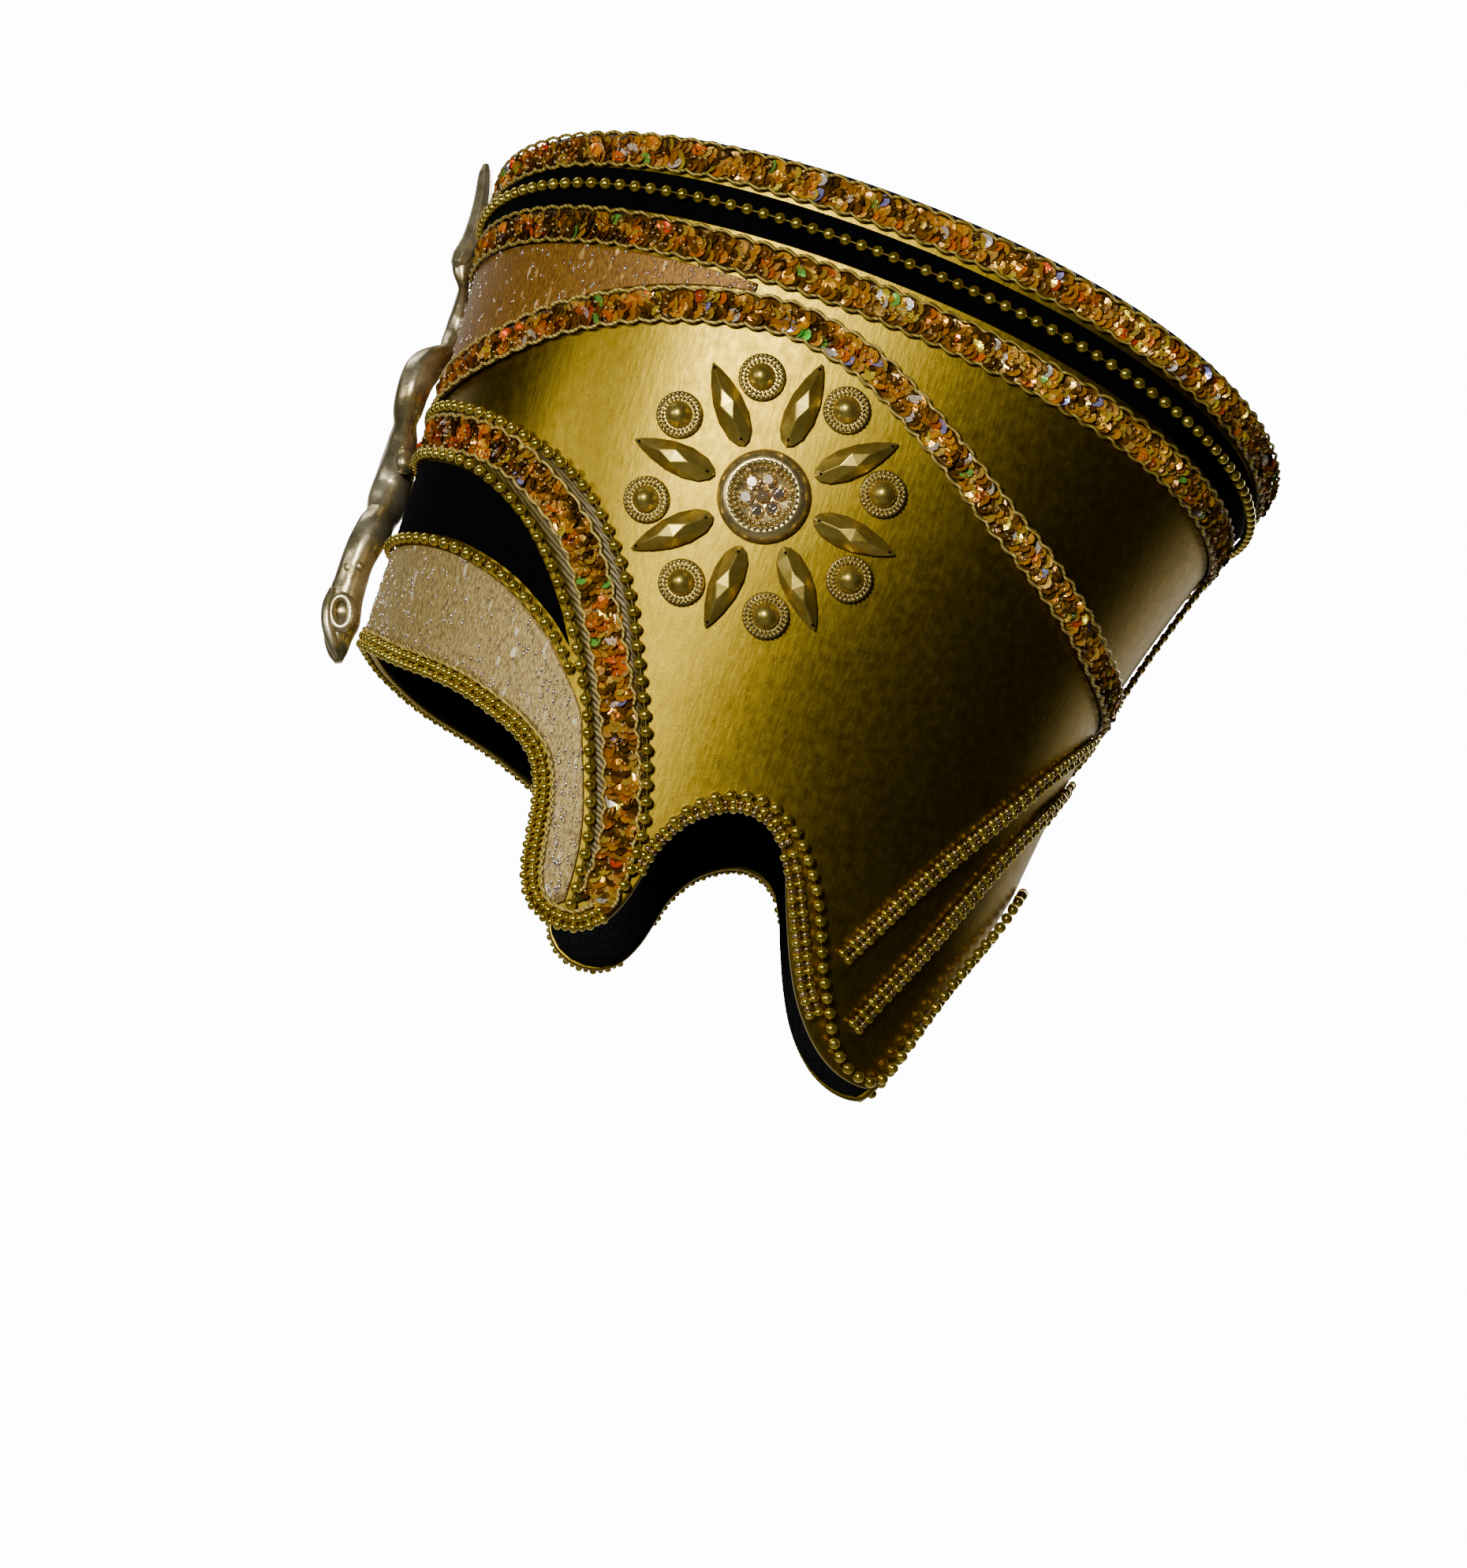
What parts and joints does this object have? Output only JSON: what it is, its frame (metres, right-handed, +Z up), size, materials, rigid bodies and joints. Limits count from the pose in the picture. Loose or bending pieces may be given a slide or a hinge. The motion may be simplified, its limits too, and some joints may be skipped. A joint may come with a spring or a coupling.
{
  "type": "costume crown headdress",
  "caption": "Tall flat-topped costume crown that flares and slants back, with bead and sequin trims, a side rosette and a serpent down the front.",
  "frame": {"origin": "in the mid plane inside the cap, level with the front of its brow edge and midway along a head that wears it", "axes": "-Y to the wearer's front, +X to the wearer's left, +Z up; symmetric about the YZ plane but for the serpent's bends"},
  "size_m": [0.2384, 0.34, 0.3387],
  "materials": {
    "gold_paint": "satin old-gold paint with a fine speckle over a stiff moulded wall",
    "black_lining": "matt black cloth",
    "black_velvet": "matt black velvet ribbon and cloth",
    "copper_sequins": "orange-gold hologram sequins between scalloped gold cords",
    "copper_glitter": "copper lurex cloth with small bright flecks",
    "rose_glitter": "champagne lurex cloth with silver and rose flecks",
    "bright_gold_beads": "polished yellow-gold metallised beads",
    "cast_gold": "cast ornament with worn pale gold paint",
    "gold_stone": "faceted stones and buttons sprayed with satin gold, clear crystals at the centre"
  },
  "bodies": {
    "root": {"crown_shell": "gold_paint", "crown_lining": "black_lining", "crown_top": "black_lining", "rim_sequin_trim": "copper_sequins", "lower_sequin_trim": "copper_sequins", "side_sequin_trim": "copper_sequins", "brow_sequin_trim": "copper_sequins", "black_band": "black_velvet", "brow_black_panel": "black_velvet", "front_glitter_panel": "copper_glitter", "brow_glitter_panel": "rose_glitter", "band_bead_string": "bright_gold_beads", "brow_outer_beads": "bright_gold_beads", "brow_inner_beads": "bright_gold_beads", "brow_divider_beads": "bright_gold_beads", "hem_bead_string": "bright_gold_beads", "brow_edge_beads": "bright_gold_beads", "ear_double_row_left": "bright_gold_beads", "ear_double_row_right": "bright_gold_beads", "nape_upper_row": "bright_gold_beads", "nape_lower_row": "bright_gold_beads", "back_seam_braid": "bright_gold_beads", "serpent_ornament": "cast_gold", "rosette_disc_left": "gold_stone", "rosette_petal_left_1": "gold_stone", "rosette_cabochon_left_1": "gold_stone", "rosette_petal_left_2": "gold_stone", "rosette_cabochon_left_2": "gold_stone", "rosette_petal_left_3": "gold_stone", "rosette_cabochon_left_3": "gold_stone", "rosette_petal_left_4": "gold_stone", "rosette_cabochon_left_4": "gold_stone", "rosette_petal_left_5": "gold_stone", "rosette_cabochon_left_5": "gold_stone", "rosette_petal_left_6": "gold_stone", "rosette_cabochon_left_6": "gold_stone", "rosette_petal_left_7": "gold_stone", "rosette_cabochon_left_7": "gold_stone", "rosette_petal_left_8": "gold_stone", "rosette_cabochon_left_8": "gold_stone", "rosette_disc_right": "gold_stone", "rosette_petal_right_1": "gold_stone", "rosette_cabochon_right_1": "gold_stone", "rosette_petal_right_2": "gold_stone", "rosette_cabochon_right_2": "gold_stone", "rosette_petal_right_3": "gold_stone", "rosette_cabochon_right_3": "gold_stone", "rosette_petal_right_4": "gold_stone", "rosette_cabochon_right_4": "gold_stone", "rosette_petal_right_5": "gold_stone", "rosette_cabochon_right_5": "gold_stone", "rosette_petal_right_6": "gold_stone", "rosette_cabochon_right_6": "gold_stone", "rosette_petal_right_7": "gold_stone", "rosette_cabochon_right_7": "gold_stone", "rosette_petal_right_8": "gold_stone", "rosette_cabochon_right_8": "gold_stone"}
  },
  "joints": []
}
